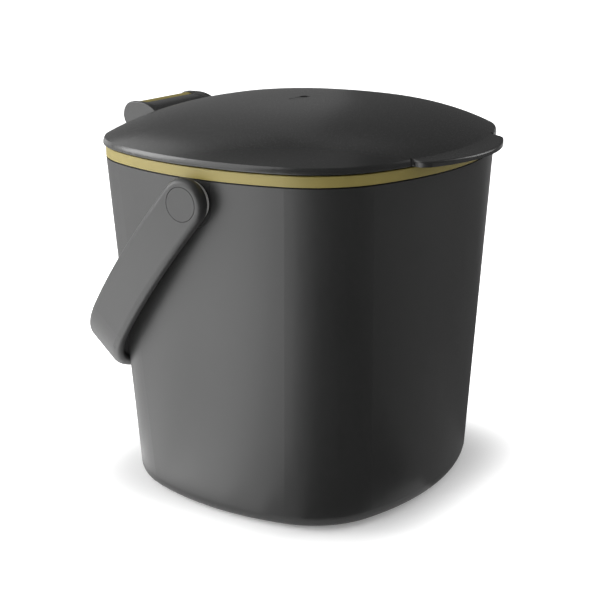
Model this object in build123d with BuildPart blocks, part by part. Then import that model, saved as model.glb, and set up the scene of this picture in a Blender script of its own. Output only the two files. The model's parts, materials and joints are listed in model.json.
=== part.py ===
from build123d import *
import math
import os

# Countertop caddy: a tapered rounded-square bucket with an olive rim collar, a domed lid hinged at
# the back and a bail handle on two side pivots. Millimetres, +Z up, front towards -Y. The origin is
# on the ground, under the middle of the bucket.

# Bucket: a square with bowed sides and round corners, smaller at the foot than at the rim line
foot_drop = 0.6
rim_height = 151.0
rim_half_width = 84.0
rim_front = 80.0
rim_back = 80.0
side_draft = 10.0
front_draft = 8.5
back_draft = 10.8
crown_y = -3.5
side_bow = 132.0
front_bow = 132.0
back_bow = 144.0
bow_draft = 8.8
front_corner = 43.5
back_corner = 44.5
corner_draft = 1.7
wall = 2.4
floor_thickness = 2.8
base_radius = 6.3
inside_base_radius = 4.0
shadow_gap = 0.6

# Rim collar: a channel that drops over the tongue on top of the wall
collar_height = 4.5
collar_web = 2.3
collar_skirt_depth = 7.9
collar_skirt = 1.2
tongue = 1.2
collar_fit = 0.1
collar_edge = 0.4

# Feet pressed into pockets under the floor
foot_radius = 6.0
foot_thickness = 2.0
foot_fit = 0.05
foot_x = 41.0
foot_y = 38.0
foot_edge = 0.3

# Lid: dome over a brim that is widest near its foot and rounds in to the dome
brim_overhang = 0.7
brim_nose = 1.7
brim_round_height = 3.0
brim_low_angle = 6.0
brim_steps = 4
brim_edge = 0.3
dome_rise = 14.2
dome_power = 3.47
dome_steps = 7
dome_top_share = 0.125
dome_bow = 1.5
dome_corner = 0.95
dome_blend = 2.8
lid_wall = 2.1
cavity_share = 0.93
dimple_length = 14.0
dimple_width = 5.0
dimple_depth = 0.35
dimple_y = 2.4

# Thumb tab on the front of the lid
tab_half_width = 36.6
tab_overhang = 10.3
tab_bow = 74.0
tab_corner = 5.5
tab_thickness = 2.1
tab_slope = 4.0
tab_edge = 0.8
tab_knee = 4.0
tab_blend = 25.0
tab_blend_length = 7.0
tab_root = 10.0
tab_drop = 0.3
notch_radius = 1.1

# Hinge at the back
hinge_overhang = 0.4
hinge_lift = 5.9
knuckle_radius = 6.0
knuckle_half_width = 19.6
neck_outset = 1.5
neck_side_drop = 2.0
ear_outer_x = 22.2
ear_flare = 6.0
ear_radius = 6.6
ear_edge = 0.4
fairing_flat = 4.4
fairing_round = 16.0
fairing_length = 18.0
cover_drop = 0.9
cover_lip = 3.4
hinge_side_gap = 0.3
hinge_swing_gap = 0.25
ear_relief = 0.35
pin_radius = 1.5
pin_press_fit = 0.02
pin_running_fit = 0.06
pin_end_wall = 0.9
pin_chamfer = 0.2
plug_length = 0.8
plug_recess = 0.3
plug_radius = 2.4

# Plate under the lid, its plug skirt and the seal round it
plate_thickness = 1.6
plate_inset = 3.0
plate_fit = 0.05
skirt_gap = 1.4
skirt_thickness = 1.8
skirt_depth = 5.6
seal_gap = 0.4
seal_height = 2.0
seal_depth = 0.8
seal_rise = 1.5
seal_fit = 0.05
seal_edge = 0.5

# Handle: a bowed U that leans on the back of the bucket
pivot_drop = 9.4
handle_lean = 40.8
handle_standoff = 8.0
handle_reach = 127.6
handle_width = 20.8
handle_thickness = 6.0
arm_bow = 252.0
bend_radius = 60.0
grip_bow = 105.0
handle_edge = 2.6

# Pivot hardware, the same on both sides
insert_half_width = 8.4
insert_low = 2.6
insert_gap = 0.12
stud_radius = 4.5
stud_length = 4.25
boss_radius = 5.4
boss_depth = 1.7
bush_wall = 1.44
bush_running_fit = 0.06
bush_press_fit = 0.02
bush_wall_gap = 0.2
bush_flange_radius = 8.6
washer_radius = 6.9
washer_thickness = 1.0
washer_hole_gap = 0.1
washer_gap = 0.1
screw_radius = 1.5
screw_fit = 0.02
screw_length = 9.0
screw_tip_gap = 0.25
screw_head_radius = 3.5
screw_head_height = 1.7
screw_head_edge = 0.4
screw_recess_radius = 1.3
screw_recess_depth = 1.0
cap_radius = 7.2
cap_thickness = 0.9
cap_fit = 0.03
cap_edge = 0.25

# Heights that follow from the sizes above
wall_top = foot_drop + rim_height - shadow_gap
collar_bottom = foot_drop + rim_height
collar_top = collar_bottom + collar_height
web_bottom = collar_top - collar_web
skirt_bottom = collar_top - collar_skirt_depth
lid_bottom = collar_top + shadow_gap
brim_high_angle = math.degrees(math.acos(1 - brim_overhang / brim_nose))
brim_low_rise = brim_round_height * math.sin(math.radians(brim_low_angle))
brim_high_rise = brim_round_height * math.sin(math.radians(brim_high_angle))
dome_base = lid_bottom + brim_low_rise + brim_high_rise
hinge_y = rim_back + hinge_overhang
hinge_z = collar_top + hinge_lift
pivot_z = collar_bottom - pivot_drop
handle_outer_x = rim_half_width + handle_standoff
handle_inner_x = handle_outer_x - handle_thickness
stud_end_x = rim_half_width + stud_length
bush_start_x = rim_half_width + bush_wall_gap
floor_top = foot_drop + floor_thickness
collar_inner_inset = wall + collar_fit + collar_skirt
plug_inset = collar_inner_inset + skirt_gap
tab_bottom = lid_bottom - tab_drop
tab_reach = rim_front + tab_overhang
tab_root_y = rim_front - tab_root
plug_end_x = ear_outer_x - plug_recess
bush_radius = stud_radius + bush_running_fit + bush_wall
bush_end_x = stud_end_x - washer_gap
side_mirror = {"left": -1, "right": 1}


def wall_sizes(height, inset=0.0):
    """Sizes of the bucket's outline at a height over the ground, moved in by an inset."""
    drop = 1 - (height - foot_drop) / rim_height
    return {
        "half_width": rim_half_width - side_draft * drop - inset,
        "front": rim_front - front_draft * drop - inset,
        "back": rim_back - back_draft * drop - inset,
        "side_bow": side_bow - bow_draft * drop - inset,
        "front_bow": front_bow - bow_draft * drop - inset,
        "back_bow": back_bow - bow_draft * drop - inset,
        "front_corner": front_corner - corner_draft * drop - inset,
        "back_corner": back_corner - corner_draft * drop - inset,
        "crown_y": crown_y,
    }


def dome_sizes(share):
    """Sizes of the dome's outline at a share of the rim, rounder towards the top."""
    rim = wall_sizes(lid_bottom)
    small, large = sorted((rim["half_width"], rim["front"]))
    top_bow = dome_bow * (small + large) / 2
    top_corner = dome_corner * small**2 / large
    square = share**dome_blend
    sizes = {}
    for name in ("half_width", "front", "back", "crown_y"):
        sizes[name] = rim[name] * share
    for name in ("side_bow", "front_bow", "back_bow"):
        sizes[name] = share * (rim[name] * square + top_bow * (1 - square))
    for name in ("front_corner", "back_corner"):
        sizes[name] = share * (rim[name] * square + top_corner * (1 - square))
    return sizes


def even_shares(first):
    """Shares of the rim in even steps from the first one to the flat at the top."""
    return [first + (dome_top_share - first) * step / dome_steps for step in range(dome_steps + 1)]


def dome_height(share):
    """Height of the dome's outside over a share of the rim."""
    return dome_base + dome_rise * (1 - share**dome_power)


def corner_between(side, front, corner):
    """Centre of a corner circle that touches two bowed sides from the inside, and its two tangent
    points. Each side is its centre and its radius."""
    (side_centre, side_radius), (front_centre, front_radius) = side, front
    side_reach = side_radius - corner
    front_reach = front_radius - corner
    gap = front_centre - side_centre
    along = (side_reach**2 - front_reach**2 + gap.length**2) / (2 * gap.length)
    across = math.sqrt(side_reach**2 - along**2)
    foot = side_centre + gap.normalized() * along
    square = Vector(-gap.Y, gap.X).normalized() * across
    centre = max((foot + square, foot - square), key=lambda point: point.X)
    on_side = side_centre + (centre - side_centre).normalized() * side_radius
    on_front = front_centre + (centre - front_centre).normalized() * front_radius
    return on_side, on_front


def bowed_square(sizes):
    """Outline of eight arcs that run into each other: four bowed sides and four corners."""
    right = (Vector(sizes["half_width"] - sizes["side_bow"], sizes["crown_y"]), sizes["side_bow"])
    front = (Vector(0, sizes["front_bow"] - sizes["front"]), sizes["front_bow"])
    back = (Vector(0, sizes["back"] - sizes["back_bow"]), sizes["back_bow"])
    side_low, front_right = corner_between(right, front, sizes["front_corner"])
    side_high, back_right = corner_between(right, back, sizes["back_corner"])
    turns = [
        (front_right, side_low, sizes["front_corner"]),
        (side_low, side_high, sizes["side_bow"]),
        (side_high, back_right, sizes["back_corner"]),
    ]
    with BuildLine() as outline:
        for start, end, radius in turns:
            RadiusArc(start, end, -radius)
            RadiusArc((-end.X, end.Y), (-start.X, start.Y), -radius)
        RadiusArc(back_right, (-back_right.X, back_right.Y), -sizes["back_bow"])
        RadiusArc((-front_right.X, front_right.Y), front_right, -sizes["front_bow"])
    return outline.edges()


def wall_block(low, high, inset=0.0):
    """Solid between two heights whose sides follow the bucket's draft, moved in by an inset."""
    with BuildPart() as block:
        for height in (low, high):
            with BuildSketch(Plane.XY.offset(height)):
                make_face(bowed_square(wall_sizes(height, inset)))
        loft(ruled=True)
    return block.part


def straight_block(reference, low, high, inset):
    """Upright solid between two heights, on the bucket's outline at a reference height."""
    with BuildPart() as block:
        with BuildSketch(Plane.XY.offset(low)):
            make_face(bowed_square(wall_sizes(reference, inset)))
        extrude(amount=high - low)
    return block.part


def straight_ring(reference, low, high, outer_inset, inner_inset):
    """Upright ring between two heights and two insets from the outline at a reference height."""
    with BuildPart() as ring:
        add(straight_block(reference, low, high, outer_inset))
        add(straight_block(reference, low, high, inner_inset), mode=Mode.SUBTRACT)
    return ring.part


def rod(start_x, end_x, radius, height, y=0.0):
    """Cylinder along X between two places."""
    with BuildPart() as bar:
        with BuildSketch(Plane.YZ.offset(start_x)):
            with Locations((y, height)):
                Circle(radius)
        extrude(amount=end_x - start_x)
    return bar.part


def insert_prism(side, gap):
    """U-shaped prism through the side wall, open at the top, for the pivot insert."""
    half_width = insert_half_width + gap
    top = collar_top
    with BuildPart() as prism:
        with BuildSketch(Plane.YZ.offset(side * (handle_outer_x + handle_edge))):
            with Locations((0, pivot_z - insert_low)):
                Circle(half_width)
            with Locations((0, (pivot_z - insert_low + top) / 2)):
                Rectangle(2 * half_width, top - pivot_z + insert_low)
        extrude(amount=-side * rim_half_width / 2)
    return prism.part


# Bucket
foot_places = {
    "front_left": (-foot_x, -foot_y),
    "front_right": (foot_x, -foot_y),
    "back_left": (-foot_x, foot_y),
    "back_right": (foot_x, foot_y),
}

with BuildPart() as bucket_walls:
    add(wall_block(foot_drop, wall_top))
    fillet(bucket_walls.edges().group_by(Axis.Z)[0], radius=base_radius)
    add(straight_block(wall_top, wall_top, web_bottom, wall - tongue))

with BuildPart() as bucket_inside:
    add(wall_block(floor_top, collar_top, wall))
    fillet(bucket_inside.edges().group_by(Axis.Z)[0], radius=inside_base_radius)

with BuildPart() as bucket_shell:
    add(bucket_walls.part)
    add(bucket_inside.part, mode=Mode.SUBTRACT)

with BuildPart() as bucket:
    add(bucket_shell.part)
    for side in side_mirror.values():
        add(insert_prism(side, insert_gap), mode=Mode.SUBTRACT)
    with BuildSketch(Plane.XY.offset(foot_drop)):
        with Locations(*foot_places.values()):
            Circle(foot_radius + foot_fit)
    extrude(amount=foot_thickness - foot_drop, mode=Mode.SUBTRACT)
bucket.part.label = "bucket"
pieces = [bucket.part]

# Feet
for place, (x, y) in foot_places.items():
    with BuildPart() as base_foot:
        with BuildSketch():
            with Locations((x, y)):
                Circle(foot_radius)
        extrude(amount=foot_thickness)
        chamfer(base_foot.edges().group_by(Axis.Z)[0], length=foot_edge)
    base_foot.part.label = "base_foot_" + place
    pieces.append(base_foot.part)

# Rim collar with the hinge knuckle on a neck that follows the rim
skirt_outer_inset = wall + collar_fit
with BuildPart() as hinge_neck:
    neck_inner_inset = skirt_outer_inset + collar_skirt / 2
    neck_bottom = collar_top - collar_web / 2
    add(straight_ring(collar_bottom, neck_bottom, hinge_z, -neck_outset, neck_inner_inset))
    with BuildSketch(Plane.XY.offset(web_bottom)):
        with Locations((0, hinge_y)):
            Rectangle(2 * knuckle_half_width, 4 * knuckle_radius)
    extrude(amount=hinge_z - web_bottom, mode=Mode.INTERSECT)
    add(rod(-knuckle_half_width, knuckle_half_width, knuckle_radius, hinge_z, hinge_y))

with BuildPart() as rim_collar:
    add(straight_ring(collar_bottom, web_bottom, collar_top, 0, skirt_outer_inset + collar_skirt / 2))
    top_face = rim_collar.faces().sort_by(Axis.Z)[-1]
    fillet(top_face.outer_wire().edges(), radius=collar_edge)
    lip_inset = wall - tongue - collar_fit
    add(straight_ring(collar_bottom, collar_bottom, web_bottom, 0, lip_inset))
    add(straight_ring(skirt_bottom, skirt_bottom, collar_top, skirt_outer_inset, collar_inner_inset))
    for side in side_mirror.values():
        relief_start = knuckle_half_width + hinge_side_gap / 2
        relief = rod(side * relief_start, side * 2 * ear_outer_x, ear_radius + ear_relief, hinge_z, hinge_y)
        add(relief, mode=Mode.SUBTRACT)
    add(hinge_neck.part)
    pin_bore = rod(-ear_outer_x, ear_outer_x, pin_radius + pin_running_fit, hinge_z, hinge_y)
    add(pin_bore, mode=Mode.SUBTRACT)
rim_collar.part.label = "rim_collar"
pieces.append(rim_collar.part)

# Lid shell: brim, dome and the hollow under it
with BuildPart() as brim:
    for turn in range(brim_steps + 1):
        share = turn / brim_steps
        angle = math.radians(brim_high_angle * share - brim_low_angle * (1 - share))
        outset = brim_overhang - brim_nose * (1 - math.cos(angle))
        height = lid_bottom + brim_low_rise + brim_round_height * math.sin(angle)
        with BuildSketch(Plane.XY.offset(height)):
            make_face(bowed_square(wall_sizes(lid_bottom, -outset)))
    loft()
    fillet(brim.edges().group_by(Axis.Z)[0], radius=brim_edge)

with BuildPart() as dome:
    for share in even_shares(1.0):
        with BuildSketch(Plane.XY.offset(dome_height(share))):
            make_face(bowed_square(dome_sizes(share)))
    loft()

with BuildPart() as lid_cavity:
    for share in even_shares(cavity_share):
        with BuildSketch(Plane.XY.offset(dome_height(share) - lid_wall)):
            make_face(bowed_square(dome_sizes(share)))
    loft()
    with BuildSketch(Plane.XY.offset(lid_bottom)):
        make_face(bowed_square(dome_sizes(cavity_share)))
    extrude(amount=dome_height(cavity_share) - lid_wall - lid_bottom)
    with BuildSketch(Plane.XY.offset(lid_bottom)):
        make_face(bowed_square(wall_sizes(lid_bottom, plate_inset)))
    extrude(amount=plate_thickness)

# Thumb tab: its plan, cut by a side view that turns about the centre of the rim's front bow: a flat
# that slopes to the edge and a hollow that runs up into the dome
front_centre_y = front_bow - rim_front
front_axis = Axis((0, front_centre_y, 0), (0, 0, 1))
tab_side_y = tab_bow - tab_reach - math.sqrt(tab_bow**2 - tab_half_width**2)
tab_knee_y = rim_front + tab_knee
tab_knee_z = tab_bottom + tab_thickness + (tab_reach - tab_knee_y) * math.tan(math.radians(tab_slope))
with BuildPart() as thumb_tab:
    with BuildSketch(Plane.XY.offset(tab_bottom)) as tab_plan:
        with BuildLine():
            RadiusArc((-tab_half_width, tab_side_y), (tab_half_width, tab_side_y), -tab_bow)
            Polyline(
                (tab_half_width, tab_side_y),
                (tab_half_width, -tab_root_y),
                (-tab_half_width, -tab_root_y),
                (-tab_half_width, tab_side_y),
            )
        make_face()
        fillet(tab_plan.vertices().group_by(Axis.Y)[0], radius=tab_corner)
    extrude(amount=dome_rise)
    with BuildSketch(Plane.YZ):
        with BuildLine():
            tab_flat = Line((-tab_reach, tab_bottom + tab_thickness), (-tab_knee_y, tab_knee_z))
            blend_turn = math.degrees(tab_blend_length / tab_blend)
            tab_hollow = JernArc(tab_flat @ 1, tab_flat % 1, tab_blend, blend_turn)
            Polyline(
                tab_hollow @ 1,
                (-tab_root_y, (tab_hollow @ 1).Y),
                (-tab_root_y, tab_bottom),
                (-tab_reach, tab_bottom),
                tab_flat @ 0,
            )
        make_face()
    revolve(axis=front_axis, mode=Mode.INTERSECT)
    sloping_face = thumb_tab.faces().filter_by(GeomType.CONE).sort_by(Axis.Y)[0]
    knee_radius = front_centre_y + tab_knee_y
    tab_rim = sloping_face.edges().filter_by(
        lambda edge: math.hypot((edge @ 0.5).X, (edge @ 0.5).Y - front_centre_y) > knee_radius + 0.05
    )
    fillet(tab_rim, radius=tab_edge)
    add(straight_block(lid_bottom, tab_bottom, lid_bottom, plate_inset), mode=Mode.SUBTRACT)

# Hinge fairing: ears that flare towards the dome, with a lower cover between them


def fairing_outline(drop):
    """Side view of the fairing, from the round back over a flat to a round front, moved in."""
    radius = ear_radius - drop
    round_radius = fairing_round - drop
    flat_y = hinge_y - fairing_flat
    turn = math.degrees(math.asin((fairing_length - fairing_flat) / fairing_round))
    with BuildLine() as outline:
        back = CenterArc((hinge_y, hinge_z), radius, -90, 180)
        flat = Line(back @ 1, (flat_y, hinge_z + radius))
        front = JernArc(flat @ 1, (-1, 0), round_radius, turn)
        Polyline(front @ 1, ((front @ 1).X, hinge_z - radius), back @ 0)
    return outline.edges()


with BuildPart() as cover_cut:
    with BuildSketch(Plane.YZ.offset(-knuckle_half_width - hinge_side_gap)):
        with Locations((hinge_y - fairing_length / 2, hinge_z)):
            Rectangle(2 * fairing_length, 2 * fairing_length)
        make_face(fairing_outline(cover_drop), mode=Mode.SUBTRACT)
    extrude(amount=2 * (knuckle_half_width + hinge_side_gap))

neck_front_y = wall_sizes(collar_top, collar_inner_inset)["back"] - neck_side_drop
with BuildPart() as fairing_room:
    room_back = neck_front_y - lid_wall
    with BuildSketch(Plane.YZ.offset(-knuckle_half_width)):
        make_face(fairing_outline(cover_drop + lid_wall))
        with Locations((room_back - fairing_length, (lid_bottom + hinge_z) / 2)):
            Rectangle(2 * fairing_length, hinge_z - lid_bottom)
        with Locations((room_back - fairing_length, hinge_z)):
            Rectangle(2 * fairing_length, 2 * fairing_length, mode=Mode.INTERSECT)
    extrude(amount=2 * knuckle_half_width)

with BuildPart() as fairing:
    with BuildSketch(Plane.YZ.offset(-2 * ear_outer_x)):
        make_face(fairing_outline(0))
    extrude(amount=4 * ear_outer_x)
    flare = math.tan(math.radians(ear_flare))
    with BuildSketch(Plane.XY.offset(hinge_z - ear_radius)):
        front_reach = 2 * fairing_length
        front_x = ear_outer_x + front_reach * flare
        back_x = ear_outer_x - front_reach * flare
        with BuildLine():
            Polyline(
                (front_x, hinge_y - front_reach),
                (back_x, hinge_y + front_reach),
                (-back_x, hinge_y + front_reach),
                (-front_x, hinge_y - front_reach),
                close=True,
            )
        make_face()
    extrude(amount=2 * ear_radius, mode=Mode.INTERSECT)
    fillet(fairing.faces().sort_by(Axis.X)[0].edges(), radius=ear_edge)
    fillet(fairing.faces().sort_by(Axis.X)[-1].edges(), radius=ear_edge)
    add(cover_cut.part, mode=Mode.SUBTRACT)
    add(straight_block(lid_bottom, hinge_z - fairing_length, lid_bottom, 0), mode=Mode.SUBTRACT)
    plate_top = lid_bottom + plate_thickness
    add(straight_block(lid_bottom, lid_bottom, plate_top, plate_inset), mode=Mode.SUBTRACT)
    add(fairing_room.part, mode=Mode.SUBTRACT)

# Room in the lid for the knuckle and its neck over the whole swing
slot_half_width = knuckle_half_width + hinge_side_gap
with BuildPart() as hinge_slot:
    slot_radius = knuckle_radius + hinge_swing_gap
    add(rod(-slot_half_width, slot_half_width, slot_radius, hinge_z, hinge_y))
    with BuildSketch(Plane.YZ.offset(-slot_half_width)):
        with BuildLine():
            Polyline(
                (neck_front_y, lid_bottom - brim_nose),
                (neck_front_y, hinge_z),
                (hinge_y - cover_lip, hinge_z),
                (hinge_y - cover_lip, hinge_z + dome_rise),
                (hinge_y + fairing_length, hinge_z + dome_rise),
                (hinge_y + fairing_length, lid_bottom - brim_nose),
                close=True,
            )
        make_face()
    extrude(amount=2 * slot_half_width)

with BuildPart() as pin_room:
    bore_radius = pin_radius + pin_press_fit
    plug_start_x = plug_end_x - plug_length
    add(rod(pin_end_wall - ear_outer_x, plug_end_x, bore_radius, hinge_z, hinge_y))
    plug_bore_radius = plug_radius + pin_press_fit
    add(rod(plug_start_x, ear_outer_x + fairing_length, plug_bore_radius, hinge_z, hinge_y))

# Notches where the tab's sides leave the brim, and the shallow dimple on top
notch_x = tab_half_width + notch_radius
notch_y = front_centre_y - math.sqrt((front_bow + brim_overhang) ** 2 - notch_x**2)
with BuildPart() as lid_cuts:
    with BuildSketch(Plane.XY.offset(lid_bottom - brim_nose)):
        with Locations((-notch_x, notch_y), (notch_x, notch_y)):
            Circle(notch_radius)
    extrude(amount=3 * brim_nose + tab_thickness)
    with BuildSketch(Plane.XY.offset(dome_height(dome_top_share) - dimple_depth)):
        with Locations((0, dimple_y)):
            SlotOverall(dimple_length, dimple_width)
    extrude(amount=dome_rise)

with BuildPart() as lid_shell:
    add(dome.part)
    add(brim.part)
    add(thumb_tab.part)
    add(lid_cavity.part, mode=Mode.SUBTRACT)
    add(fairing.part)
    for cut in (hinge_slot, pin_room, lid_cuts):
        add(cut.part, mode=Mode.SUBTRACT)
lid_shell.part.label = "lid_shell"
pieces.append(lid_shell.part)

# Hinge pin, blind in the left ear, and the plug that closes its hole in the right ear
with BuildPart() as hinge_pin:
    add(rod(pin_end_wall - ear_outer_x, plug_start_x, pin_radius, hinge_z, hinge_y))
    chamfer(hinge_pin.edges(), length=pin_chamfer)
hinge_pin.part.label = "hinge_pin"
pieces.append(hinge_pin.part)

with BuildPart() as hinge_pin_plug:
    add(rod(plug_start_x, plug_end_x, plug_radius, hinge_z, hinge_y))
    chamfer(hinge_pin_plug.edges().sort_by(Axis.X)[-1], length=cap_edge)
hinge_pin_plug.part.label = "hinge_pin_plug"
pieces.append(hinge_pin_plug.part)

# Plate under the lid with its plug skirt, grooved for the seal
seal_bottom = lid_bottom - skirt_depth + seal_rise
groove_inset = plug_inset + seal_depth
with BuildPart() as lid_inner_plate:
    plate_edge_inset = plate_inset + plate_fit
    add(straight_block(lid_bottom, lid_bottom, lid_bottom + plate_thickness, plate_edge_inset))
    with BuildSketch(Plane.XY.offset(lid_bottom)):
        with Locations((0, neck_front_y + knuckle_radius)):
            Rectangle(2 * slot_half_width, 2 * knuckle_radius)
    extrude(amount=plate_thickness, mode=Mode.SUBTRACT)
    skirt_low = lid_bottom - skirt_depth
    skirt_inner_inset = plug_inset + skirt_thickness
    add(straight_ring(skirt_bottom, skirt_low, lid_bottom, plug_inset, skirt_inner_inset))
    groove = straight_ring(skirt_bottom, seal_bottom, seal_bottom + seal_height, 0, groove_inset)
    add(groove, mode=Mode.SUBTRACT)
lid_inner_plate.part.label = "lid_inner_plate"
pieces.append(lid_inner_plate.part)

with BuildPart() as lid_seal:
    seal_outer_inset = collar_inner_inset + seal_gap
    seal_top = seal_bottom + seal_height
    add(straight_ring(skirt_bottom, seal_bottom, seal_top, seal_outer_inset, groove_inset - seal_fit))
    for level in (0, -1):
        seal_face = lid_seal.faces().filter_by(Axis.Z).sort_by(Axis.Z)[level]
        fillet(seal_face.outer_wire().edges(), radius=seal_edge)
lid_seal.part.label = "lid_seal"
pieces.append(lid_seal.part)

# Handle: bowed U in a plane that leans back from the pivots
lean = math.radians(handle_lean)
handle_plane = Plane(
    origin=(0, 0, pivot_z), x_dir=(1, 0, 0), z_dir=(0, math.cos(lean), math.sin(lean))
)


def bail_outline(inset):
    """Outer line of the bail from pivot to pivot, moved in by an inset."""
    arm = (Vector(arm_bow - handle_outer_x, 0), arm_bow - inset)
    grip = (Vector(0, handle_reach - grip_bow), grip_bow - inset)
    bend = bend_radius - inset
    arm_reach = arm[1] - bend
    grip_reach = grip[1] - bend
    gap = grip[0] - arm[0]
    along = (arm_reach**2 - grip_reach**2 + gap.length**2) / (2 * gap.length)
    across = Vector(-gap.Y, gap.X).normalized() * math.sqrt(arm_reach**2 - along**2)
    foot = arm[0] + gap.normalized() * along
    centre = max((foot + across, foot - across), key=lambda point: point.Y)
    on_arm = arm[0] + (centre - arm[0]).normalized() * arm[1]
    on_grip = grip[0] + (centre - grip[0]).normalized() * grip[1]
    start = Vector(inset - handle_outer_x, 0)
    return start, on_arm, on_grip, arm[1], bend, grip[1]


with BuildPart() as handle:
    with BuildSketch(handle_plane):
        with BuildLine():
            ends = []
            for inset in (0, handle_thickness):
                start, on_arm, on_grip, arm_radius, bend, grip_radius = bail_outline(inset)
                RadiusArc(start, on_arm, arm_radius)
                RadiusArc(on_arm, on_grip, bend)
                RadiusArc(on_grip, (-on_grip.X, on_grip.Y), grip_radius)
                RadiusArc((-on_grip.X, on_grip.Y), (-on_arm.X, on_arm.Y), bend)
                RadiusArc((-on_arm.X, on_arm.Y), (-start.X, 0), arm_radius)
                ends.append(start)
            Line(ends[0], ends[1])
            Line((-ends[0].X, 0), (-ends[1].X, 0))
        make_face()
    extrude(amount=handle_width / 2, both=True)
    hub_plane = Plane(
        origin=(handle_inner_x, 0, pivot_z),
        x_dir=(0, math.sin(lean), -math.cos(lean)),
        z_dir=(1, 0, 0),
    )
    with BuildSketch(hub_plane):
        Circle(handle_width / 2)
        with Locations((handle_width / 2, 0)):
            Rectangle(handle_width, handle_width, mode=Mode.SUBTRACT)
    extrude(amount=handle_thickness)
    mirror(about=Plane.YZ)
    long_edges = handle.edges().filter_by(lambda edge: edge.length > handle_width + 1)
    fillet(long_edges, radius=handle_edge)
    for side in side_mirror.values():
        bush_bore = rod(side * rim_half_width, side * bush_end_x, bush_radius + bush_press_fit, pivot_z)
        add(bush_bore, mode=Mode.SUBTRACT)
        cap_bore_end = side * (handle_outer_x + cap_thickness)
        cap_bore = rod(side * bush_end_x, cap_bore_end, cap_radius + cap_fit, pivot_z)
        add(cap_bore, mode=Mode.SUBTRACT)
handle.part.label = "handle"
pieces.append(handle.part)

# Pivot hardware on both sides, from the wall outwards
for name, side in side_mirror.items():
    head_start_x = stud_end_x + washer_thickness
    screw_tip_x = head_start_x - screw_length
    wall_inner_x = wall_sizes(pivot_z, wall)["half_width"]

    with BuildPart() as pivot_insert:
        add(bucket_shell.part)
        add(insert_prism(side, 0), mode=Mode.INTERSECT)
        add(rod(side * (wall_inner_x + wall / 2), side * stud_end_x, stud_radius, pivot_z))
        add(rod(side * (wall_inner_x - boss_depth), side * (wall_inner_x + wall / 2), boss_radius, pivot_z))
        screw_hole = rod(
            side * (screw_tip_x - screw_tip_gap), side * stud_end_x, screw_radius + screw_fit, pivot_z
        )
        add(screw_hole, mode=Mode.SUBTRACT)
    pivot_insert.part.label = "pivot_insert_" + name
    pieces.append(pivot_insert.part)

    with BuildPart() as handle_bush:
        add(rod(side * bush_start_x, side * bush_end_x, bush_radius, pivot_z))
        flange_end_x = side * (handle_inner_x - bush_wall_gap)
        add(rod(side * bush_start_x, flange_end_x, bush_flange_radius, pivot_z))
        bush_hole = rod(
            side * bush_start_x, side * bush_end_x, stud_radius + bush_running_fit, pivot_z
        )
        add(bush_hole, mode=Mode.SUBTRACT)
    handle_bush.part.label = "handle_bush_" + name
    pieces.append(handle_bush.part)

    with BuildPart() as pivot_washer:
        add(rod(side * stud_end_x, side * head_start_x, washer_radius, pivot_z))
        washer_hole = rod(side * stud_end_x, side * head_start_x, screw_radius + washer_hole_gap, pivot_z)
        add(washer_hole, mode=Mode.SUBTRACT)
    pivot_washer.part.label = "pivot_washer_" + name
    pieces.append(pivot_washer.part)

    head_end_x = head_start_x + screw_head_height
    with BuildPart() as pivot_screw:
        add(rod(side * head_start_x, side * head_end_x, screw_head_radius, pivot_z))
        outer_rim = pivot_screw.edges().sort_by(Axis.X)[-1 if side > 0 else 0]
        fillet(outer_rim, radius=screw_head_edge)
        add(rod(side * screw_tip_x, side * head_start_x, screw_radius, pivot_z))
        with BuildSketch(Plane.YZ.offset(side * (head_end_x - screw_recess_depth))):
            with Locations((0, pivot_z)):
                RegularPolygon(screw_recess_radius, 6)
        extrude(amount=side * screw_recess_depth, mode=Mode.SUBTRACT)
    pivot_screw.part.label = "pivot_screw_" + name
    pieces.append(pivot_screw.part)

    with BuildPart() as hub_cap:
        add(rod(side * (handle_outer_x - cap_thickness), side * handle_outer_x, cap_radius, pivot_z))
        outer_rim = hub_cap.edges().sort_by(Axis.X)[-1 if side > 0 else 0]
        chamfer(outer_rim, length=cap_edge)
    hub_cap.part.label = "hub_cap_" + name
    pieces.append(hub_cap.part)

os.makedirs("parts", exist_ok=True)
for piece in pieces:
    export_step(piece, "parts/" + piece.label + ".step")
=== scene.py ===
import json
import math

import bpy
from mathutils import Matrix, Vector

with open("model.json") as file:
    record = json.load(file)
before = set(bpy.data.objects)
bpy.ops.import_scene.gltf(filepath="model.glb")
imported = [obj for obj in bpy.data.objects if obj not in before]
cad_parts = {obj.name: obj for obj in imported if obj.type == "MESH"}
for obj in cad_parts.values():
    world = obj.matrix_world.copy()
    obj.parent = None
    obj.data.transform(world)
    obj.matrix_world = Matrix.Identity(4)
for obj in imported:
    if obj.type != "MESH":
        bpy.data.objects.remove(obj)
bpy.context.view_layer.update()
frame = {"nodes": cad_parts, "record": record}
nodes = frame["nodes"]

# Camera: where the photograph was taken from, in metres, with its lens in millimetres
cameraSetup = {
    "place": (-0.50687, -0.32325, 0.25933),
    "target": (0.01720, 0.01330, 0.07299),
    "lens": 80.65,
    "sensor": 36.0,
    "nearest": 0.01,
}


def aimAt(place, target):
    return (Vector(target) - Vector(place)).to_track_quat("-Z", "Y").to_euler()


def addCamera(setup):
    data = bpy.data.cameras.new("photoCamera")
    data.lens = setup["lens"]
    data.sensor_width = setup["sensor"]
    data.clip_start = setup["nearest"]
    camera = bpy.data.objects.new("photoCamera", data)
    camera.location = setup["place"]
    camera.rotation_euler = aimAt(setup["place"], setup["target"])
    bpy.context.scene.collection.objects.link(camera)
    bpy.context.scene.camera = camera


addCamera(cameraSetup)
bpy.context.scene.view_settings.view_transform = "Standard"
print("camera set")

# Studio: turns are counted from +X and may pass 360, rises from the floor, both in degrees
white = (1, 1, 1, 1)


def linkNodes(tree, *pairs):
    for source, target in pairs:
        tree.links.new(source, target)


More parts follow.
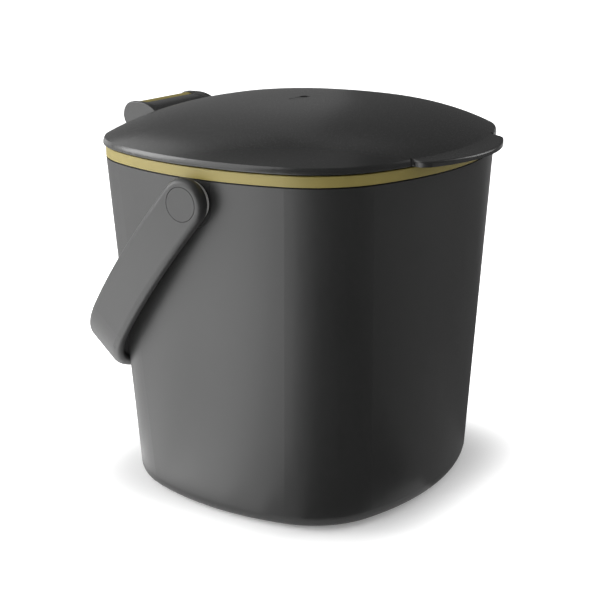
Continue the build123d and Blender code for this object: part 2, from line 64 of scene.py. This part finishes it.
def maths(tree, operation, *values):
    node = tree.nodes.new("ShaderNodeMath")
    node.operation = operation
    for socket, value in zip(node.inputs, values):
        if isinstance(value, bpy.types.NodeSocket):
            tree.links.new(value, socket)
        else:
            socket.default_value = value
    return node.outputs[0]


# 1 for what the camera, gloss and clear pieces see, and 0 for the light that falls on things
def seenDirectly(tree):
    path = tree.nodes.new("ShaderNodeLightPath")
    seen = maths(tree, "MAXIMUM", path.outputs["Is Camera Ray"], path.outputs["Is Glossy Ray"])
    return maths(tree, "MAXIMUM", seen, path.outputs["Is Transmission Ray"])


def onSphere(centre, turn, rise, away):
    turn, rise = math.radians(turn), math.radians(rise)
    across = away * math.cos(rise)
    step = (across * math.cos(turn), across * math.sin(turn), away * math.sin(rise))
    return tuple(start + move for start, move in zip(centre, step))


def addStagePiece(name, corners, faces, material):
    mesh = bpy.data.meshes.new(name)
    mesh.from_pydata(corners, [], faces)
    mesh.materials.append(material)
    piece = bpy.data.objects.new(name, mesh)
    bpy.context.scene.collection.objects.link(piece)
    return piece


# World: white where it is seen, and a weaker fill for the light that it gives
world = {"shown": 1.0, "fill": 0.34}


def addWorld(setup):
    data = bpy.data.worlds.new("studioWorld")
    data.use_nodes = True
    bpy.context.scene.world = data
    tree = data.node_tree
    tree.nodes.clear()
    seen = seenDirectly(tree)
    shown = tree.nodes.new("ShaderNodeBackground")
    shown.inputs["Color"].default_value = white
    shown.inputs["Strength"].default_value = setup["shown"]
    fill = tree.nodes.new("ShaderNodeBackground")
    fill.inputs["Color"].default_value = white
    fill.inputs["Strength"].default_value = setup["fill"]
    mix = tree.nodes.new("ShaderNodeMixShader")
    out = tree.nodes.new("ShaderNodeOutputWorld")
    linkNodes(
        tree,
        (seen, mix.inputs[0]),
        (fill.outputs[0], mix.inputs[1]),
        (shown.outputs[0], mix.inputs[2]),
        (mix.outputs[0], out.inputs[0]),
    )


addWorld(world)

# Floor: white paper that glows for the camera and for gloss, less near the caddy, so its soft
# shadow there is partly the lamps' and partly painted shade
floorPaper = {
    "size": 6.0,
    "color": (0.86, 0.86, 0.86, 1),
    "nearPaintedShadeGlow": 0.20,  # glow added to the floor beside the caddy, and away from it; the low glow beside it paints shade
    "farGlow": 1.0,
    "nearRadius": 0.064,
    "farRadius": 0.106,
    "squareness": 4.0,  # 2 fades the painted shade out in a circle, more in a rounded square
}


def floorMaterial(paper):
    material = bpy.data.materials.new("floorPaper")
    material.use_nodes = True
    tree = material.node_tree
    tree.nodes.clear()
    diffuse = tree.nodes.new("ShaderNodeBsdfDiffuse")
    diffuse.inputs["Color"].default_value = paper["color"]
    place = tree.nodes.new("ShaderNodeNewGeometry")
    axes = tree.nodes.new("ShaderNodeSeparateXYZ")
    tree.links.new(place.outputs["Position"], axes.inputs[0])
    power = paper["squareness"]
    across = maths(tree, "POWER", maths(tree, "ABSOLUTE", axes.outputs["X"]), power)
    along = maths(tree, "POWER", maths(tree, "ABSOLUTE", axes.outputs["Y"]), power)
    distance = maths(tree, "POWER", maths(tree, "ADD", across, along), 1 / power)
    # the glow ramps from low beside the caddy to full away from it: painted shade round the base
    lift = tree.nodes.new("ShaderNodeMapRange")
    lift.interpolation_type = "SMOOTHSTEP"
    lift.inputs["From Min"].default_value = paper["nearRadius"]
    lift.inputs["From Max"].default_value = paper["farRadius"]
    lift.inputs["To Min"].default_value = paper["nearPaintedShadeGlow"]
    lift.inputs["To Max"].default_value = paper["farGlow"]
    seen = seenDirectly(tree)
    glow = tree.nodes.new("ShaderNodeEmission")
    both = tree.nodes.new("ShaderNodeAddShader")
    out = tree.nodes.new("ShaderNodeOutputMaterial")
    linkNodes(
        tree,
        (distance, lift.inputs["Value"]),
        (maths(tree, "MULTIPLY", seen, lift.outputs["Result"]), glow.inputs["Strength"]),
        (diffuse.outputs[0], both.inputs[0]),
        (glow.outputs[0], both.inputs[1]),
        (both.outputs[0], out.inputs["Surface"]),
    )
    return material


def addFloor(paper):
    half = paper["size"] / 2
    corners = [(-half, -half, 0), (half, -half, 0), (half, half, 0), (-half, half, 0)]
    addStagePiece("floor", corners, [(0, 1, 2, 3)], floorMaterial(paper))


addFloor(floorPaper)

# Soft boxes, turned towards the middle of the caddy, with their power in watts
lampAim = (0.0, 0.0, 0.09)
softBoxes = [
    {"name": "backLeftBox", "turn": 116, "rise": 20, "away": 1.8, "size": (0.9, 1.1), "power": 20},
    {"name": "leftBox", "turn": 150, "rise": 25, "away": 1.8, "size": (1.3, 1.5), "power": 16},
    {"name": "topBox", "turn": 60, "rise": 80, "away": 2.0, "size": (2.0, 1.6), "power": 2.5},
    {"name": "rightBox", "turn": 325, "rise": 22, "away": 1.8, "size": (1.0, 1.2), "power": 10},
]


def addSoftBox(box):
    data = bpy.data.lights.new(box["name"], "AREA")
    data.shape = "RECTANGLE"
    data.size, data.size_y = box["size"]
    data.energy = box["power"]
    lamp = bpy.data.objects.new(box["name"], data)
    lamp.location = onSphere(lampAim, box["turn"], box["rise"], box["away"])
    lamp.rotation_euler = aimAt(lamp.location, lampAim)
    bpy.context.scene.collection.objects.link(lamp)


for softBox in softBoxes:
    addSoftBox(softBox)

# Cards that only gloss sees, on a dome or flat on the floor between two distances in metres
cardShape = {"radius": 2.6, "lift": 0.0005, "steps": 6}
cards = [  # a card with no glow is black
    {"turn": (0, 30), "rise": (-3, 45), "glow": 0.10},
    {"turn": (30, 60), "rise": (-3, 45), "glow": 0.23},
    {"turn": (60, 90), "rise": (-3, 45), "glow": 1.20},
    {"turn": (90, 150), "rise": (-3, 45), "glow": 0.35},
    {"turn": (150, 300), "rise": (-3, 45), "glow": 0.0},
    {"turn": (300, 360), "rise": (-3, 45), "glow": 0.05},
    {"turn": (80, 190), "rise": (45, 75), "glow": 0.90},
    {"turn": (190, 440), "rise": (45, 75), "glow": 0.0},
    {"turn": (0, 360), "rise": (75, 90), "glow": 0.05},
    {"turn": (0, 60), "floor": (0.085, 2.6), "glow": 0.75},
    {"turn": (60, 90), "floor": (0.085, 2.6), "glow": 0.65},
    {"turn": (90, 120), "floor": (0.085, 2.6), "glow": 1.50},
    {"turn": (120, 150), "floor": (0.085, 0.25), "glow": 2.15},
    {"turn": (120, 150), "floor": (0.25, 2.6), "glow": 3.00},
    {"turn": (150, 180), "floor": (0.085, 0.25), "glow": 2.90},
    {"turn": (150, 180), "floor": (0.25, 2.6), "glow": 3.45},
    {"turn": (180, 195), "floor": (0.085, 2.6), "glow": 1.80},
    {"turn": (195, 210), "floor": (0.085, 2.6), "glow": 0.50},
    {"turn": (210, 270), "floor": (0.085, 2.6), "glow": 0.0},
    {"turn": (270, 315), "floor": (0.070, 2.6), "glow": 0.25},
    {"turn": (315, 360), "floor": (0.070, 2.6), "glow": 0.14},
]


def cardMaterial(name, strength):
    material = bpy.data.materials.new(name)
    material.use_nodes = True
    tree = material.node_tree
    tree.nodes.clear()
    glow = tree.nodes.new("ShaderNodeEmission")
    glow.inputs["Strength"].default_value = strength
    out = tree.nodes.new("ShaderNodeOutputMaterial")
    tree.links.new(glow.outputs[0], out.inputs["Surface"])
    return material


def showOnlyToGloss(piece):
    piece.visible_camera = False
    piece.visible_diffuse = False
    piece.visible_shadow = False
    piece.visible_transmission = False
    piece.visible_volume_scatter = False


def blendOf(ends, share):
    return ends[0] + (ends[1] - ends[0]) * share


def cardCorner(card, turn, share):
    if "floor" in card:
        return onSphere((0, 0, cardShape["lift"]), turn, 0, blendOf(card["floor"], share))
    return onSphere(lampAim, turn, blendOf(card["rise"], share), cardShape["radius"])


def addCard(number, card):
    name = "card%02d" % number
    steps = cardShape["steps"]
    row = steps + 1
    corners = []
    for step in range(row):
        turn = blendOf(card["turn"], step / steps)
        corners += [cardCorner(card, turn, part / steps) for part in range(row)]
    firsts = [row * step + part for step in range(steps) for part in range(steps)]
    faces = [(first, first + row, first + row + 1, first + 1) for first in firsts]
    showOnlyToGloss(addStagePiece(name, corners, faces, cardMaterial(name, card["glow"])))


for number, card in enumerate(cards):
    addCard(number, card)
print("studio lit")


# Surface detail, shared by the finishes as node groups
grainInputs = ("Grain Scale", "Drift Scale", "Depth")
grainOutputs = {
    "Tone": "NodeSocketFloat",  # the colour follows it
    "Sheen": "NodeSocketFloat",  # the roughness follows it
    "Normal": "NodeSocketVector",
}
noiseSpan = (0.3, 0.7)  # where most of a noise's values lie


def newGrain(name):
    tree = bpy.data.node_groups.new(name, "ShaderNodeTree")
    for label in grainInputs:
        tree.interface.new_socket(label, in_out="INPUT", socket_type="NodeSocketFloat")
    for label, kind in grainOutputs.items():
        tree.interface.new_socket(label, in_out="OUTPUT", socket_type=kind)
    given = tree.nodes.new("NodeGroupInput").outputs
    return tree, given, tree.nodes.new("NodeGroupOutput").inputs


def noiseTexture(tree, vector, detail, roughness):
    noise = tree.nodes.new("ShaderNodeTexNoise")
    noise.inputs["Detail"].default_value = detail
    noise.inputs["Roughness"].default_value = roughness
    tree.links.new(vector, noise.inputs["Vector"])
    return noise


def bumpFrom(tree, height, depth):
    bump = tree.nodes.new("ShaderNodeBump")
    linkNodes(tree, (height, bump.inputs["Height"]), (depth, bump.inputs["Distance"]))
    return bump.outputs["Normal"]


# Spark-eroded grain of a moulded plastic: fine pits, and a slow drift in tone
def mouldGrain():
    tree, given, result = newGrain("mouldGrain")
    place = tree.nodes.new("ShaderNodeTexCoord").outputs["Object"]
    pits = noiseTexture(tree, place, detail=3.0, roughness=0.6)
    drift = noiseTexture(tree, place, detail=4.0, roughness=0.5)
    linkNodes(
        tree,
        (given["Grain Scale"], pits.inputs["Scale"]),
        (given["Drift Scale"], drift.inputs["Scale"]),
        (drift.outputs["Fac"], result["Tone"]),
        (pits.outputs["Fac"], result["Sheen"]),
        (bumpFrom(tree, pits.outputs["Fac"], given["Depth"]), result["Normal"]),
    )
    return tree


# Dusty elastomer: rounded cells under a fine bloom
def softRubber():
    tree, given, result = newGrain("softRubber")
    place = tree.nodes.new("ShaderNodeTexCoord").outputs["Object"]
    cells = tree.nodes.new("ShaderNodeTexVoronoi")
    cells.feature = "SMOOTH_F1"
    bloom = noiseTexture(tree, place, detail=6.0, roughness=0.7)
    linkNodes(
        tree,
        (place, cells.inputs["Vector"]),
        (given["Grain Scale"], cells.inputs["Scale"]),
        (given["Drift Scale"], bloom.inputs["Scale"]),
        (bloom.outputs["Fac"], result["Tone"]),
        (bloom.outputs["Fac"], result["Sheen"]),
        (bumpFrom(tree, cells.outputs["Distance"], given["Depth"]), result["Normal"]),
    )
    return tree


# Fine rings left by turning about the X axis, with a few soft stains
ringStretch = (12.0, 1.0, 1.0)


def turnedSteel():
    tree, given, result = newGrain("turnedSteel")
    place = tree.nodes.new("ShaderNodeTexCoord").outputs["Object"]
    stretch = tree.nodes.new("ShaderNodeMapping")
    stretch.inputs["Scale"].default_value = ringStretch
    rings = noiseTexture(tree, stretch.outputs["Vector"], detail=2.0, roughness=0.5)
    stains = noiseTexture(tree, place, detail=5.0, roughness=0.6)
    linkNodes(
        tree,
        (place, stretch.inputs["Vector"]),
        (given["Grain Scale"], rings.inputs["Scale"]),
        (given["Drift Scale"], stains.inputs["Scale"]),
        (stains.outputs["Fac"], result["Tone"]),
        (rings.outputs["Fac"], result["Sheen"]),
        (bumpFrom(tree, rings.outputs["Fac"], given["Depth"]), result["Normal"]),
    )
    return tree


grains = {"mould": mouldGrain(), "rubber": softRubber(), "steel": turnedSteel()}

# Finishes: each drifts between two tones, and its grain moves between two roughnesses
charcoal = ((0.0280, 0.0282, 0.0279), (0.0325, 0.0327, 0.0323))
finishes = {
    "bucket_plastic": {
        "grain": "mould",
        "tones": charcoal,
        "rough": (0.37, 0.44),
        "scale": 2600.0,  # cells in a metre, of the grain and of the drift
        "drift": 14.0,
        "depth": 0.000012,  # in metres
    },
    "handle_plastic": {
        "grain": "mould",
        "tones": charcoal,
        "rough": (0.37, 0.44),
        "scale": 2600.0,
        "drift": 18.0,
        "depth": 0.000012,
    },
    "lid_plastic": {
        "grain": "mould",
        "tones": charcoal,
        "rough": (0.23, 0.28),
        "scale": 3200.0,
        "drift": 12.0,
        "depth": 0.000004,
    },
    "olive_plastic": {
        "grain": "mould",
        "tones": ((0.290, 0.234, 0.056), (0.330, 0.268, 0.070)),
        "rough": (0.42, 0.52),
        "scale": 3000.0,
        "drift": 22.0,
        "depth": 0.000008,
    },
    "liner_plastic": {
        "grain": "mould",
        "tones": ((0.032, 0.032, 0.032), (0.038, 0.038, 0.038)),
        "rough": (0.40, 0.50),
        "scale": 1800.0,
        "drift": 20.0,
        "depth": 0.000015,
    },
    "bush_plastic": {
        "grain": "mould",
        "tones": ((0.52, 0.52, 0.50), (0.62, 0.62, 0.60)),
        "rough": (0.35, 0.45),
        "scale": 2200.0,
        "drift": 80.0,
        "depth": 0.000006,
    },
    "seal_rubber": {
        "grain": "rubber",
        "tones": ((0.045, 0.045, 0.046), (0.070, 0.070, 0.071)),
        "rough": (0.62, 0.75),
        "scale": 1500.0,
        "drift": 60.0,
        "depth": 0.00002,
    },
    "foot_rubber": {
        "grain": "rubber",
        "tones": ((0.022, 0.022, 0.022), (0.034, 0.034, 0.034)),
        "rough": (0.65, 0.80),
        "scale": 1300.0,
        "drift": 90.0,
        "depth": 0.00003,
    },
    "pin_steel": {
        "grain": "steel",
        "tones": ((0.54, 0.54, 0.54), (0.63, 0.63, 0.63)),
        "rough": (0.22, 0.30),
        "scale": 900.0,
        "drift": 120.0,
        "depth": 0.000003,
        "metallic": 1.0,
    },
    "screw_steel": {
        "grain": "steel",
        "tones": ((0.50, 0.50, 0.50), (0.60, 0.60, 0.60)),
        "rough": (0.26, 0.36),
        "scale": 700.0,
        "drift": 200.0,
        "depth": 0.000004,
        "metallic": 1.0,
    },
    "washer_steel": {
        "grain": "steel",
        "tones": ((0.56, 0.56, 0.55), (0.64, 0.64, 0.63)),
        "rough": (0.28, 0.38),
        "scale": 500.0,
        "drift": 150.0,
        "depth": 0.000004,
        "metallic": 1.0,
    },
}


def ramp(tree, factor, low, high):
    node = tree.nodes.new("ShaderNodeValToRGB")
    for stop, color, position in zip(node.color_ramp.elements, (low, high), noiseSpan):
        stop.color = color + (1,)
        stop.position = position
    tree.links.new(factor, node.inputs["Fac"])
    return node.outputs["Color"]


def between(tree, factor, low, high):
    node = tree.nodes.new("ShaderNodeMapRange")
    node.inputs["From Min"].default_value, node.inputs["From Max"].default_value = noiseSpan
    node.inputs["To Min"].default_value = low
    node.inputs["To Max"].default_value = high
    tree.links.new(factor, node.inputs["Value"])
    return node.outputs["Result"]


def finishMaterial(name, finish):
    material = bpy.data.materials.new(name)
    material.use_nodes = True
    tree = material.node_tree
    shader = tree.nodes["Principled BSDF"]
    shader.inputs["Metallic"].default_value = finish.get("metallic", 0.0)
    grain = tree.nodes.new("ShaderNodeGroup")
    grain.node_tree = grains[finish["grain"]]
    grain.inputs["Grain Scale"].default_value = finish["scale"]
    grain.inputs["Drift Scale"].default_value = finish["drift"]
    grain.inputs["Depth"].default_value = finish["depth"]
    linkNodes(
        tree,
        (ramp(tree, grain.outputs["Tone"], *finish["tones"]), shader.inputs["Base Color"]),
        (between(tree, grain.outputs["Sheen"], *finish["rough"]), shader.inputs["Roughness"]),
        (grain.outputs["Normal"], shader.inputs["Normal"]),
    )
    return material


materials = {name: finishMaterial(name, finish) for name, finish in finishes.items()}
slots = {part["node"]: part["material_slot"] for part in frame["record"]["subparts"]}
for name, piece in nodes.items():
    piece.data.materials.clear()
    piece.data.materials.append(materials[slots[name]])
print("finishes on")
